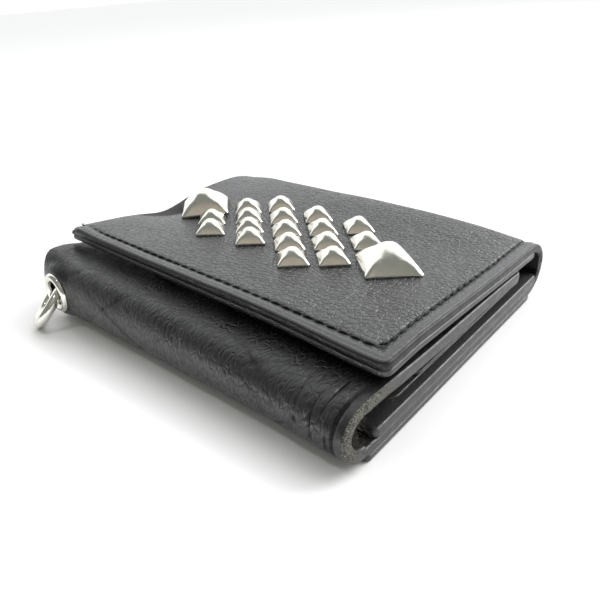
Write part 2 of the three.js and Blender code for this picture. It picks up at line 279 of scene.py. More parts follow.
def border_distance(gap_x, along, total, corners, butt):
    """Distance from the nearest edge that isn't butted against another panel."""
    border = gap_x
    for end, gap in enumerate((along, total[:, None] - along)):
        if butt[end]:
            continue
        r = corners[end]
        round_gap = r - np.hypot(np.maximum(r - gap_x, 0), np.maximum(r - gap, 0))
        border = np.minimum(border, np.where((gap_x < r) & (gap < r), round_gap, np.minimum(gap_x, gap)))
    return border


def edge_loop(nu, nv):
    """Row and column of every point round a grid's edge, in order."""
    loop = [(i, 0) for i in range(nu)] + [(nu - 1, j) for j in range(1, nv)]
    loop += [(i, nv - 1) for i in range(nu - 2, -1, -1)] + [(0, j) for j in range(nv - 2, 0, -1)]
    return np.array(loop).T


def edge_rings(outer, inner, li, lj, side, bulge, butt, flatness):
    """Rings of vertices that close the edge between the outer and the inner face.
    Flatness 0 is ROUND, 1 is TOP and 2 is SQUARE."""
    nu, nv = outer.shape[:2]
    count = len(li)
    ring = outer[li, lj]
    tangent = np.roll(ring, -1, 0) - np.roll(ring, 1, 0)
    for row in (0, nv - 1):
        for column in (0, nu - 1):
            k = int(np.where((li == column) & (lj == row))[0][0])
            before, after = (k - 1) % count, (k + 1) % count
            other = after if li[after] == column else before
            step = ring[other] - ring[k]
            tangent[k] = step if other == after else -step
    outward = unit(np.cross(tangent, grid_normals(outer)[li, lj] * side)) * side
    reach = np.full(count, float(bulge))
    for butted, row in zip(butt, (0, nv - 1)):
        if butted:
            reach[(lj == row) & (li > 0) & (li < nu - 1)] = 0
    thickness = np.linalg.norm(inner[li, lj] - ring, axis=1)
    down = unit(inner[li, lj] - ring)
    some, full = np.clip(flatness, 0, 1), np.clip(flatness - 1, 0, 1)
    rings = []
    for sections in list(zip(ROUND, TOP, SQUARE))[1:1 + RINGS]:
        out, low = (r * (1 - some) + (t * (1 - full) + q * full) * some for r, t, q in zip(*sections))
        rings.append(ring + outward * (reach * out)[:, None] + down * (thickness * low)[:, None])
    return rings


def hole_sides(keep):
    """Grid points at both ends of each side of the cells that keep leaves out."""
    around = np.pad(keep, 1, constant_values=True)
    for i, j in zip(*np.where(~keep)):
        for (di, dj), ends in {
            (-1, 0): ((i, j), (i, j + 1)), (1, 0): ((i + 1, j + 1), (i + 1, j)),
            (0, -1): ((i + 1, j), (i, j)), (0, 1): ((i, j + 1), (i + 1, j + 1)),
        }.items():
            if around[i + 1 + di, j + 1 + dj]:
                yield ends


def leather(name, path, xs, qs, side, thick, materials, half=END, bulge=0.5, corners=(0, 0),
            butt=(False, False), flat=0.0, relief=None, skin=(1, None), warp=None, cut=None, mark=None,
            left_corner=None, plain_left=False):
    """Closed sheet of leather over path(x, q) -> y, z, with rounded edges and three materials:
    outer face, edge and inner face. Lengths are in mm.

    The sheet hangs below the path by thick. relief(x, s, border, y) lifts its outer face, and
    warp moves both faces. cut says which points are inside a hole, and mark(x, s) goes to the edge
    material. A butted end has no rounded edge. skin is the sign and start of the distance along
    the leather that its grain follows. Returns the object and each line's length over x."""
    right = max(corners)
    left = right if left_corner is None else left_corner
    xs = corner_stations(xs * (half - bulge) / np.abs(xs).max(), half - bulge, left - bulge, right - bulge)
    points, along, total = lay_out(path, xs, qs, half, bulge, corners, left_corner, butt)
    nu, nv = along.shape
    x_grid = points[..., 0]
    border = border_distance(half - (x_grid if plain_left else np.abs(x_grid)), along, total, corners, butt)
    normal = grid_normals(points) * side
    depth = thick(x_grid, along) if callable(thick) else np.full_like(x_grid, thick)
    lift = relief(x_grid, along, border, points[..., 1]) if relief else 0 * x_grid
    outer = points + normal * lift[..., None]
    inner = points - normal * depth[..., None]
    if warp:
        outer, inner = warp(outer, inner)
    keep = np.ones((nu - 1, nv - 1), bool)
    if cut:
        keep = ~cut((points[:-1, :-1] + points[1:, 1:]) / 2)

    li, lj = edge_loop(nu, nv)
    round_edge = len(li)
    flatness = flat(x_grid[li, lj], along[li, lj]) if callable(flat) else np.full(round_edge, float(flat))
    rings = edge_rings(outer, inner, li, lj, side, bulge, butt, flatness)
    verts = np.concatenate([outer.reshape(-1, 3), inner.reshape(-1, 3), *rings])
    n = nu * nv
    ids = np.arange(n).reshape(nu, nv)
    faces, index = [], []

    def quads(a, b, c, d, material, flip):
        q = np.stack([a, b, c, d], -1).reshape(-1, 4)
        faces.append(q[:, ::-1] if flip else q)
        index.append(np.full(len(q), material))

    a, b, c, d = ids[:-1, :-1][keep], ids[1:, :-1][keep], ids[1:, 1:][keep], ids[:-1, 1:][keep]
    quads(a, b, c, d, 0, side < 0)
    quads(a + n, b + n, c + n, d + n, 2, side > 0)
    levels = [2 * n + k * round_edge + np.arange(round_edge) for k in range(RINGS)]
    levels = [ids[li, lj]] + levels + [ids[li, lj] + n]
    for lower, upper in zip(levels, levels[1:]):
        quads(lower, np.roll(lower, -1), np.roll(upper, -1), upper, 1, side > 0)
    for p, q in hole_sides(keep):
        p, q = ids[p], ids[q]
        quads(np.array([p]), np.array([p + n]), np.array([q + n]), np.array([q]), 1, side < 0)

    sign, start = skin
    s_skin = sign * (along + (start(x_grid) if start else 0))
    on_faces = np.stack([x_grid, s_skin, border], -1).reshape(-1, 3)
    on_edge = np.stack([x_grid[li, lj], s_skin[li, lj], np.zeros(round_edge)], -1)
    # dent: how deep the relief presses the outer face in; the grain material paints shade in these dents
    # from it
    dent = np.clip(-lift, 0, 1)
    marked = mark(x_grid, along) if mark else 0 * x_grid
    fields = {
        "skin": np.concatenate([on_faces] * 2 + [on_edge] * RINGS),
        "dent": np.concatenate([dent.ravel(), 0 * dent.ravel()] + [0 * dent[li, lj]] * RINGS),
        "mark": np.concatenate([marked.ravel()] * 2 + [marked[li, lj]] * RINGS),
    }
    used = np.unique(np.concatenate(faces))
    renumber = np.zeros(len(verts), int)
    renumber[used] = np.arange(len(used))
    rows = [ids[:, row] + k * n for butted, row in zip(butt, (0, -1)) if butted for k in (0, 1)]
    sharp = renumber[np.intersect1d(np.concatenate(rows), used)] if rows else None
    fields = {key: values[used] for key, values in fields.items()}
    faces, index = renumber[np.concatenate(faces)], np.concatenate(index)
    obj = build(name, verts[used], faces, materials, index, fields, sharp)
    return obj, lambda x: np.interp(x, xs, total)


def pairs(count, step=1):
    """Each of count places round a closed ring with the next one, a step apart."""
    return [(k * step, (k + 1) % count * step) for k in range(count)]


def bands(last, count):
    """Quads between one ring of count vertices and the next, up to the ring that starts at last."""
    return [(r + i, r + j, r + count + j, r + count + i)
            for r in range(0, last, count) for i, j in pairs(count)]


def tube(points, radius, sides=6):
    """Closed round tube along points. radius may be one for each point."""
    points = np.asarray(points, float)
    radius = np.broadcast_to(radius, len(points))
    tangent = unit(np.gradient(points, axis=0))
    guide = np.array([0.0, 0.0, 1.0])
    if abs(tangent[0] @ guide) > 0.9:
        guide = np.array([1.0, 0.0, 0.0])
    one = unit(np.cross(tangent, guide))
    two = np.cross(tangent, one)
    turn = np.arange(sides) * 2 * np.pi / sides
    around = one[:, None] * np.cos(turn)[None, :, None] + two[:, None] * np.sin(turn)[None, :, None]
    verts = (points[:, None] + radius[:, None, None] * around).reshape(-1, 3)
    last, ring = len(verts) - sides, tuple(range(sides))
    return verts, bands(last, sides) + [ring[::-1], tuple(last + k for k in ring)]


def joined(parts):
    """One list of vertices and one of faces from many."""
    verts, faces, base = [], [], 0
    for v, f in parts:
        verts.append(v)
        faces += [tuple(i + base for i in face) for face in f]
        base += len(v)
    return np.concatenate(verts), faces


def lathe(profile, frame_matrix, segments=64):
    """Turned shape from a closed (radius, height) profile, placed by a 4x4 matrix."""
    radius, height = np.array(profile, float).T
    turn = np.arange(segments) * 2 * np.pi / segments
    ways = (np.cos(turn), radius), (np.sin(turn), radius), (np.ones(segments), height)
    verts = np.stack([np.outer(*way) for way in ways], -1).reshape(-1, 3)
    count = len(profile)
    faces = [(i + k, j + k, j + m, i + m) for i, j in pairs(segments, count) for k, m in pairs(count)]
    return verts @ frame_matrix[:3, :3].T + frame_matrix[:3, 3], faces


# ---- materials
class Nodes:
    """Short helpers for the nodes of one tree."""

    def __init__(self, tree):
        self.tree = tree

    def node(self, kind, inputs=None, **props):
        made = self.tree.nodes.new(kind)
        for key, value in props.items():
            setattr(made, key, value)
        for key, value in (inputs or {}).items():
            if isinstance(value, bpy.types.NodeSocket):
                self.tree.links.new(value, made.inputs[key])
            else:
                made.inputs[key].default_value = value
        return made

    def math(self, operation, a, b=0.0, c=0.0, clamp=False):
        made = self.node("ShaderNodeMath", {0: a, 1: b, 2: c}, operation=operation, use_clamp=clamp)
        return made.outputs[0]

    def times(self, a, b):
        return self.math("MULTIPLY", a, b)

    def times_plus(self, a, b, c, clamp=False):
        return self.math("MULTIPLY_ADD", a, b, c, clamp)

    def vector(self, operation, a, b=(0, 0, 0)):
        return self.node("ShaderNodeVectorMath", {0: a, 1: b}, operation=operation).outputs[0]

    def ramp(self, value, low, high, out_low=0.0, out_high=1.0):
        return self.node("ShaderNodeMapRange", {
            "Value": value, "From Min": low, "From Max": high, "To Min": out_low, "To Max": out_high,
        }, interpolation_type="SMOOTHSTEP").outputs[0]

    def mix(self, factor, a, b):
        return self.node("ShaderNodeMix", {0: factor, 6: a, 7: b}, data_type="RGBA").outputs[2]


class Looks(Nodes):
    """A material. Heights are in mm."""

    def __init__(self, name, **sockets):
        self.material = bpy.data.materials.new(name)
        self.material.use_nodes = True
        super().__init__(self.material.node_tree)
        self.shader = self.tree.nodes["Principled BSDF"]
        for key, value in sockets.items():
            self.shader.inputs[key.replace("_", " ")].default_value = value

    def field(self, name, output="Fac"):
        return self.node("ShaderNodeAttribute", attribute_name=name).outputs[output]

    def noise(self, at, scale, detail=2.0, rough=0.5, output="Fac"):
        return self.node("ShaderNodeTexNoise", {
            "Vector": at, "Scale": scale, "Detail": detail, "Roughness": rough}).outputs[output]

    def cells(self, at, scale):
        """Distance from the borders of irregular cells."""
        return self.node("ShaderNodeTexVoronoi", {"Vector": at, "Scale": scale, "Randomness": 1.0},
                         feature="DISTANCE_TO_EDGE").outputs["Distance"]

    def finish(self, colour, rough=None, height=None):
        if height is not None:
            bump = self.node("ShaderNodeBump", {"Height": height, "Strength": 1.0, "Distance": MM})
            height = bump.outputs[0]
        for key, value in (("Base Color", colour), ("Roughness", rough), ("Normal", height)):
            if value is not None:
                self.tree.links.new(value, self.shader.inputs[key])
        return self.material


def grey(v, warm=0.0):
    return (v * (1 + warm), v, v * (1 - warm), 1)


BLACK = grey(0.0006)
RIM_END = (2.6, 3.4)  # the burnished rim fades out this far from the edge
CUT_END = (44.8, 46.0)  # the fold's grain fades out here, near its cut end


def grain_material(name, cell=1.25, depth=0.17, rim=True, gloss=1.0, tone=0.0085, stretch=(1.0, 1.0),
                   soft=1.0):
    """Pebbled black leather. With a rim, it is burnished smooth near its edges."""
    m = Looks(name, Specular_IOR_Level=gloss)
    x, along, border = m.node("ShaderNodeSeparateXYZ", {0: m.field("skin", "Vector")}).outputs
    place = {0: m.times(x, stretch[0]), 1: m.times(along, stretch[1])}
    at = m.node("ShaderNodeCombineXYZ", place).outputs[0]
    bend = m.vector("SUBTRACT", m.noise(at, 0.55, output="Color"), (0.5, 0.5, 0.5))
    bend = m.node("ShaderNodeVectorMath", {0: bend, "Scale": 0.4}, operation="SCALE").outputs[0]
    warped = m.vector("ADD", at, bend)
    pebble = m.cells(warped, 1 / cell)
    groove = m.ramp(pebble, 0.0, 0.12 * soft)
    fine = m.ramp(m.cells(warped, 2.1 / cell), 0.0, 0.1 * soft)
    patch = m.noise(at, 0.12, 3)

    # deeper in patches, and shallower towards the left end
    amount = m.times(m.ramp(patch, 0.3, 0.7, 0.5, 1.3), m.ramp(x, -42.0, -5.0, 0.3, 1.0))
    if not rim:
        amount = m.times(amount, m.ramp(x, *CUT_END, 1.0, 0.12))
    dome = m.ramp(pebble, 0.0, 0.5, 0.0, 0.5)
    height = m.times_plus(fine, 0.13, m.math("ADD", groove, dome))
    height = m.times_plus(m.noise(at, 4.0), 0.25, height)
    height = m.times(m.times(height, amount), depth)
    shade = m.times_plus(groove, 0.55, m.times(fine, 0.25))
    shade = m.times_plus(m.noise(at, 0.4, 3), 0.5, shade)
    colour = m.mix(shade, grey(0.0015), grey(tone, -0.03))
    wear = m.math("ADD", m.times(groove, 0.6), m.times(patch, 0.6))
    rough = m.ramp(wear, 0.0, 1.1, 0.6, 0.33)
    if rim:
        ragged = m.times_plus(m.noise(at, 0.9, 3), 0.9, border)
        burnish = m.ramp(ragged, *RIM_END, 1.0, 0.0)
        polish = m.times_plus(m.noise(at, 0.8, 3), 0.16, 0.02)
        height = m.times(height, m.ramp(burnish, 0, 1, 1.0, 0.04))
        height = m.math("ADD", height, m.times(polish, burnish))
        rough = m.times(rough, m.ramp(burnish, 0, 1, 1.0, 0.9))
        colour = m.mix(m.times(burnish, 0.8), colour, grey(tone * 0.6, -0.05))
        line = m.times(m.ramp(border, 0.25, 0.5), m.ramp(border, 0.6, 0.9, 1.0, 0.0))
        colour = m.mix(line, colour, BLACK)
        rough = m.times_plus(line, 0.3, rough, clamp=True)
        height = m.times_plus(line, -0.12, height)
    # painted shade: dents in the relief (creases, the stitch groove, the bent-down corner) are darkened
    # towards black and made rougher
    fold = m.ramp(m.field("dent"), 0.06, 0.26)
    colour = m.mix(fold, colour, BLACK)
    return m.finish(colour, m.times_plus(fold, 0.5, rough, clamp=True), height)


def edge_material(name="edge_paint", tone=1.0):
    """Painted and burnished leather edge. Where mark is 1 it is raw and speckled."""
    m = Looks(name, Specular_IOR_Level=0.8 * tone)
    rest = m.field("rest", "Vector")
    raw = m.field("mark")
    wave = m.noise(rest, 0.5, 3)
    grit = m.noise(rest, 5.0, 4, 0.7)
    speck = m.ramp(m.noise(rest, 3.4, 3, 0.75), 0.42, 0.62)
    # a tone below 1 gives a darker copy of the same paint: painted shade
    paint = m.mix(wave, grey(0.008 * tone, -0.02), grey(0.03 * tone))
    fibre = m.mix(speck, grey(0.01, 0.05), (0.2, 0.19, 0.15, 1))
    rough = m.times_plus(raw, 0.35, m.ramp(wave, 0.3, 0.7, 0.34, 0.5))
    height = m.times_plus(wave, 0.12, m.times(grit, 0.03))
    height = m.times_plus(m.times(speck, raw), 0.14, height)
    return m.finish(m.mix(raw, paint, fibre), rough, height)


def flesh_material():
    """The hairy inner side of the leather."""
    m = Looks("flesh_side", Specular_IOR_Level=0.12, Sheen_Weight=0.12, Sheen_Roughness=0.5)
    rest = m.field("rest", "Vector")
    nap = m.noise(rest, 2.2, 5, 0.75)
    rough = m.ramp(m.noise(rest, 0.35), 0.3, 0.7, 0.8, 0.97)
    return m.finish(m.mix(nap, BLACK, grey(0.006, 0.03)), rough, m.times(nap, 0.5))


def lining_material():
    """Smooth fine-grained calf of the pockets."""
    m = Looks("lining_calf", Specular_IOR_Level=0.45)
    rest = m.field("rest", "Vector")
    tooth = m.ramp(m.cells(rest, 2.6), 0.0, 0.22)
    cloud = m.noise(rest, 0.15, 4)
    colour = m.mix(m.times(cloud, tooth), grey(0.008), grey(0.0256))
    return m.finish(colour, m.ramp(cloud, 0.3, 0.7, 0.48, 0.66), m.times(tooth, 0.035))


def thread_material():
    m = Looks("waxed_thread", Specular_IOR_Level=0.4)
    twist = m.noise(m.field("rest", "Vector"), 7.0, 3)
    colour = m.mix(twist, grey(0.002), grey(0.014))
    return m.finish(colour, m.ramp(twist, 0.3, 0.7, 0.45, 0.75), m.times(twist, 0.08))


def metal_material(name, colour, rough, dull):
    """Polished plate with faint haze, fine rubs and dull patches. It also has to work on the CAD
    nodes, which have no rest field, so it follows object coordinates."""
    m = Looks(name, Metallic=1.0)
    at = m.vector("MULTIPLY", m.node("ShaderNodeTexCoord").outputs["Object"], (1 / MM,) * 3)
    haze = m.noise(at, 0.35, 4)
    rub = m.noise(m.vector("MULTIPLY", at, (0.6, 5.0, 2.0)), 2.0, 4, 0.7)
    pit = m.noise(at, 3.0, 3)
    worn = tuple(c * dull for c in colour[:3]) + (1,)
    blur = m.times_plus(rub, 0.08, m.ramp(haze, 0.35, 0.7, rough, rough + 0.1))
    return m.finish(m.mix(haze, colour, worn), blur, m.times_plus(rub, 0.004, m.times(pit, 0.012)))


def fibre_material():
    m = Looks("leather_fibre", Specular_IOR_Level=0.3, Roughness=0.7)
    tangle = m.noise(m.field("rest", "Vector"), 1.5, 3, 0.7)
    return m.finish(m.mix(tangle, grey(0.004), (0.09, 0.08, 0.06, 1)))


GRAIN = grain_material("grain_cowhide")
# Painted shade: the near fold's copy of the grain has a darker tone than the flap's, standing in for the
# shade and darker reflections on the fold's face.
GRAIN_FOLD_SHADED = grain_material("grain_cowhide_fold_shaded", cell=1.4, depth=0.065, soft=1.3, rim=False, gloss=0.54,
                            tone=0.0035, stretch=(1.35, 0.62))
EDGE = edge_material()
# Painted shade: a darker copy of the edge paint for the flap's edge, standing in for the darker reflection
# on its upper layer.
EDGE_SHADED = edge_material("edge_paint_shaded", 0.45)
FLESH = flesh_material()
LINING = lining_material()
THREAD = thread_material()
FIBRE = fibre_material()
NICKEL = metal_material("nickel_plate", (0.76, 0.75, 0.69, 1), 0.06, 0.84)
STEEL = metal_material("plain_steel", (0.50, 0.49, 0.47, 1), 0.28, 0.7)


# ---- camera, light, floor
def add_camera():
    """Camera at the photograph's viewing angle."""
    right = Vector((0.7591, 0.6466, -0.0758))
    up = Vector((-0.2584, 0.4060, 0.8766))
    back = Vector((0.5976, -0.6458, 0.4753))
    data = bpy.data.cameras.new("camera")
    data.lens = 35.0
    data.sensor_width = 36.0
    data.clip_start = 0.005
    camera = new_object("camera", data)
    turn = Matrix((right, up, back)).transposed().to_4x4()
    turn.translation = Vector((0.09167, -0.09503, 0.07248))
    camera.matrix_world = turn
    bpy.context.scene.camera = camera


def add_light(name, at, aim, size, power, spread=180):
    data = bpy.data.lights.new(name, "AREA")
    data.shape = "RECTANGLE"
    data.size, data.size_y = size
    data.energy = power
    data.spread = np.radians(spread)
    light = new_object(name, data)
    light.location = at
    light.rotation_euler = (Vector(aim) - Vector(at)).to_track_quat("-Z", "Y").to_euler()


def add_floor():
    half, drop = 9.0, 0.00002
    mesh = bpy.data.meshes.new("floor")
    corners = [(-half, -half, 0), (half, -half, 0), (half, half, 0), (-half, half, 0)]
    mesh.from_pydata(corners, [], [(0, 1, 2, 3)])
    m = Looks("floor_paper", Roughness=0.9, Specular_IOR_Level=0.0)
    fibre = m.noise(m.node("ShaderNodeTexCoord").outputs["Object"], 900)
    mesh.materials.append(m.finish(m.mix(fibre, grey(0.985), grey(0.995))))
    floor = new_object("floor", mesh)
    floor.location = (0, 0, -drop)


TENT = (1.5, 1.52, 1.54, 1)
ROOM = (0.29, 0.3, 0.28, 1)  # seen through the tent's open side
ROOM_SIDE, ROOM_FADE = (0.25, -0.95, 0.1), (0.06, 0.16)
WARM = (0.54, 0.48, 0.41, 1)
WARM_SIDE, WARM_FADE = (0.48, -0.5, 0.72), (0.93, 0.97)


def add_world():
    """A pale light tent with one open, darker side and a small warm patch above it."""
    world = bpy.data.worlds.new("studio")
    bpy.context.scene.world = world
    world.use_nodes = True
    n = Nodes(world.node_tree)
    where = n.node("ShaderNodeTexCoord").outputs["Generated"]
    tent = TENT
    for colour, side, (low, high) in ((ROOM, ROOM_SIDE, ROOM_FADE), (WARM, WARM_SIDE, WARM_FADE)):
        aim = tuple(float(c) / np.linalg.norm(side) for c in side)
        dot = n.node("ShaderNodeVectorMath", {0: where, 1: aim}, operation="DOT_PRODUCT").outputs["Value"]
        tent = n.mix(n.ramp(dot, low, high), tent, colour)
    ray = n.node("ShaderNodeLightPath").outputs["Is Camera Ray"]
    seen = n.mix(ray, tent, (1.0, 1.0, 1.0, 1))
    n.tree.links.new(seen, n.tree.nodes["Background"].inputs["Color"])


add_camera()
add_floor()
add_world()
add_light("overhead", (0.4, 0.65, 0.5), (0, 0, 0), (0.6, 0.6), 7.0)
add_light("floor_pool", (0.025, -0.19, 0.3), (0.025, -0.125, 0), (0.16, 0.06), 0.2, spread=24)


# ---- outer leather
# Paths over q: 0 to 1 is the first fold, 1 to 2 the panel, 2 to 3 the fold after it.
def near_front_path(x, q):
    a_y, a_z = near_fold(x, SEAM_ANGLE + np.clip(q, 0, 1) * (90 - SEAM_ANGLE))
    y = NEAR_CREASE + np.clip(q - 1, 0, 1) * (FRONT_TIP - NEAR_CREASE)
    return np.where(q < 1, a_y, y), np.where(q < 1, a_z, front_top(x, y))


def back_path(x, q):
    n_y, n_z = near_fold(x, SEAM_ANGLE - np.clip(q, 0, 1) * (90 + SEAM_ANGLE))
    f_y, f_z = far_fold(x, -90 + np.clip(q - 2, 0, 1) * 90)
    y = NEAR_CREASE + np.clip(q - 1, 0, 1) * (SPINE_Y - NEAR_CREASE)
    y = np.where(q < 1, n_y, np.where(q > 2, f_y, y))
    return y, np.where(q < 1, n_z, np.where(q > 2, f_z, BACK_BOTTOM))


def flap_path(x, q):
    f_y, f_z = far_fold(x, np.clip(q, 0, 1) * 90)
    y = SPINE_Y + np.clip(q - 1, 0, 1) * (NEAR_EDGE - SPINE_Y)
    return np.where(q < 1, f_y, y), np.where(q < 1, f_z, flap_top(x, y))


def sway(x, s, amount):
    """Slow unevenness of a hand-sewn leather face."""
    return amount * (np.sin(x * 0.13 + 0.9) * np.sin(s * 0.11 + 0.4) + 0.5 * np.sin(x * 0.31 + s * 0.23))


STITCH_IN = 3.7  # from the flap's edge to its stitching
NEAR_LEFT = (-48.5, -28.4)  # the flap's near left corner, which bends down
WRINKLES = [  # (x, depth, width) of the creases near the fold's cut end
    (45.8, 0.8, 0.2), (44.4, 0.35, 0.2), (43.0, 0.5, 0.19),
    (41.4, 0.3, 0.2), (39.7, 0.26, 0.22), (37.8, 0.2, 0.24)]


def flap_relief(x, s, border, y):
    band = 0.22 * (1 - smooth(1.9, 3.0, border)) - 0.13 * lobe(border, 1.2, 0.2)
    groove = -0.3 * lobe(border, STITCH_IN, 0.5)
    sag = smooth(36, 48, -x) * (0.5 * lobe(y, -24, 7) - 0.75 * lobe(y, -0.5, 7))
    shoulder = -0.5 * smooth(45.2, 48.2, -x) ** 2 * (1 - smooth(5, 20, y))
    corner = -1.0 * lobe(np.hypot(x - NEAR_LEFT[0], y - NEAR_LEFT[1]), 0, 1.8)
    return band + groove + sway(x, s, 0.06) + sag + shoulder + corner


far_lift = curve_through(
    [(-END, 0.3), (-43, 0.3), (-31, 0.5), (-15, 0.9), (9, 1.5), (30, 1.5), (43, 0.5), (END, 0)])


def droop(points):
    """The near right corner of the flap hangs lower and reaches a little further."""
    points = points.copy()
    x, y = points[..., 0].copy(), points[..., 1].copy()
    points[..., 2] -= 0.9 * smooth(14, 47, x) * (1 - smooth(-31, -16, y))
    points[..., 1] -= 0.9 * smooth(20, 48, x) * (1 - smooth(-31, -22, y))
    return points


def swell(outer, inner):
    """The flap rises towards the far fold, which its crease holds up, but not at the left end."""
    moved = []
    for points in (outer, inner):
        points = points.copy()
        x, y, z = np.moveaxis(points, -1, 0)
        lift = far_lift(x) * smooth(16, 37, y) - 1.9 * smooth(36, END, -x) * smooth(28, 42, y)
        points[..., 2] = z + lift * smooth(9, 14, z)
        points[..., 0] = x - 0.6 * smooth(45.5, 48, -x) * (1 - smooth(-28, -20, y))
        moved.append(droop(points))
    return moved


def near_relief(x, s, border, y):
    """Creases round the fold near its cut end, tucks in its face and a raised left end."""
    on_fold = 1 - smooth(20, 25, s)
    lines = 0
    for at, depth, width in WRINKLES:
        drift = 0.25 * np.sin(s * 0.3 + at) - 0.03 * (s - 9) + 0.018 * (s - 9) * (46.6 - at)
        strength = 0.55 + 0.45 * np.sin(s * 0.25 + at * 2.1) if at < 45 else 1
        lines = lines - depth * strength * lobe(x + drift, at, width)
    tuck = sum(-0.09 * lobe(np.sin(x * k + s * n + k), 1, 0.04) for k, n in ((0.23, 0.5), (0.31, -0.42)))
    raised = 0.9 * lobe(s, 21.5, 5) * smooth(38, 47.5, -x)
    return on_fold * (lines + tuck) + sway(x, s, 0.07) * smooth(0, 3, s) + raised


def eyelet_frame():
    """Placement of the eyelet, square to the leather of the near fold."""
    x, e = -42.0, 0.01
    depth = 1.0  # below the outer face

    def at(x, angle):
        a = np.radians(angle)
        reach = NEAR_CREASE - near_face(x) - depth
        half = (fold_top(x) - BACK_BOTTOM) / 2
        y = NEAR_CREASE - np.cos(a) * (reach - fold_skew(x) * np.sin(a))
        return np.array([x, float(y), BACK_BOTTOM + half + (half - depth) * np.sin(a)])

    outward = unit(np.cross(at(x + e, 0) - at(x - e, 0), at(x, 0.5) - at(x, -0.5)))
    return placed(unit(np.cross([0, 0, 1], outward)), outward, at(x, 0) + outward * 0.15)


EYELET = eyelet_frame()


def eyelet_local(p):
    return (p - EYELET[:3, 3]) @ EYELET[:3, :3]


HOLE_RADIUS = 4.1
PINCHED = (5.2, 7.6)  # the leather is flat inside the first radius and free beyond the second


def pinch(outer, inner):
    """The eyelet presses the leather flat around its hole."""
    result = []
    for points, level in ((outer, 0.5), (inner, -0.5)):
        local = eyelet_local(points)
        far = np.hypot(local[..., 0], local[..., 1])
        w = (1 - smooth(*PINCHED, far)) * (local[..., 2] > -5)
        local[..., 2] += w * (level - local[..., 2])
        result.append(local @ EYELET[:3, :3].T + EYELET[:3, 3])
    return result


def eyelet_hole(p):
    local = eyelet_local(p)
    return (np.hypot(local[..., 0], local[..., 1]) < HOLE_RADIUS) & (np.abs(local[..., 2]) < 4)


def near_fold_and_front():
    xs = stations(-48, 48, 0.2, 0.95, 8.5, 12)
    qs = np.concatenate([np.linspace(0, 1, 46), 1 + stations(0, 64, 0.35, 1.3, 0, 5)[1:] / 64])
    near, _ = leather(
        "near_fold_and_front", near_front_path, xs, qs, 1, lambda x, s: 2.6 - 0.05 * smooth(18, 32, s),
        [GRAIN_FOLD_SHADED, EDGE, FLESH], bulge=0.55, corners=(0, 4), butt=(True, False),
        flat=lambda x, s: 0.6 * smooth(24, 30, s), relief=near_relief, warp=pinch, cut=eyelet_hole,
        mark=lambda x, s: smooth(44, 47, x) * smooth(1.5, 5, s) * (1 - smooth(21, 30, s)))
    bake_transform(near)
    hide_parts("near_fold_leather", "front_leather")


def back_panel():
    """Returns the length of the leather up to the flap, for each x."""
    xs = stations(-48, 48, 0.2, 0.95, 8.5, 12)
    qs = np.concatenate([
        np.linspace(0, 1, 5), 1 + stations(0, 69, 0.9, 1.6, 4, 0)[1:] / 69, np.linspace(2, 3, 22)[1:]])
    back, length = leather(
        "back_panel", back_path, xs, qs, -1, 2.0, [GRAIN, EDGE, FLESH], butt=(True, True), skin=(-1, None),
        flat=lambda x, s: 2 * smooth(2, 5, s) * (1 - smooth(70, 74, s)))
    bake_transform(back)
    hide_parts("back_leather", "far_fold_leather")
    return length


def flap_panel(start):
    xs = stations(-48, 48, 0.28, 0.9, 6, 6)
    qs = np.concatenate([np.linspace(0, 1, 22), 1 + stations(0, 63, 0.28, 0.9, 0, 6)[1:] / 63])
    flap, _ = leather(
        "flap_panel", flap_path, xs, qs, -1, lambda x, s: 1.8 - 0.35 * smooth(6, 14, s),
        [GRAIN, EDGE_SHADED, FLESH], corners=(0, 2.0), left_corner=1.1, plain_left=True, butt=(True, False),
        flat=lambda x, s: 0.6 * smooth(11, 14, s) * smooth(-46, -44, x), warp=swell, relief=flap_relief,
        skin=(-1, start))
    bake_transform(flap)
    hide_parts("far_fold_leather", "flap_leather")


# ---- inner layers
def panel(name, body, cad, x_range, y_range, surface, thick, corners=(2, 2), bulge=0.3, flat=0.0,
          materials=None, up=True, left_corner=None, warp=None):
    """Flat or curved layer. surface(x, y) is its upper face if up, or else its lower face."""
    middle, half = sum(x_range) / 2, (x_range[1] - x_range[0]) / 2
    y0, y1 = y_range

    def path(x, q):
        y = y0 + q * (y1 - y0)
        return y, surface(x + middle, y) + 0 * y

    xs = stations(-half, half, 0.4, 1.6, 2, 2)
    qs = stations(0, y1 - y0, 0.4, 1.6, 2, 2) / (y1 - y0)
    obj, _ = leather(name, path, xs, qs, 1 if up else -1, thick, materials or [LINING, EDGE, LINING],
                     half=half, bulge=bulge, corners=corners, flat=flat, left_corner=left_corner, warp=warp)
    co = np.zeros(len(obj.data.vertices) * 3)
    obj.data.vertices.foreach_get("co", co)
    co[::3] += middle * MM
    obj.data.vertices.foreach_set("co", co)
    obj.data.attributes["rest"].data.foreach_set("vector", (co / MM).astype(np.float32))
    obj.data.update()
    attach(obj, body)
    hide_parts(*cad)


def level(z):
    return lambda x, y: z + 0 * y


def under(surface, depth):
    return lambda x, y: surface(x, y) - depth


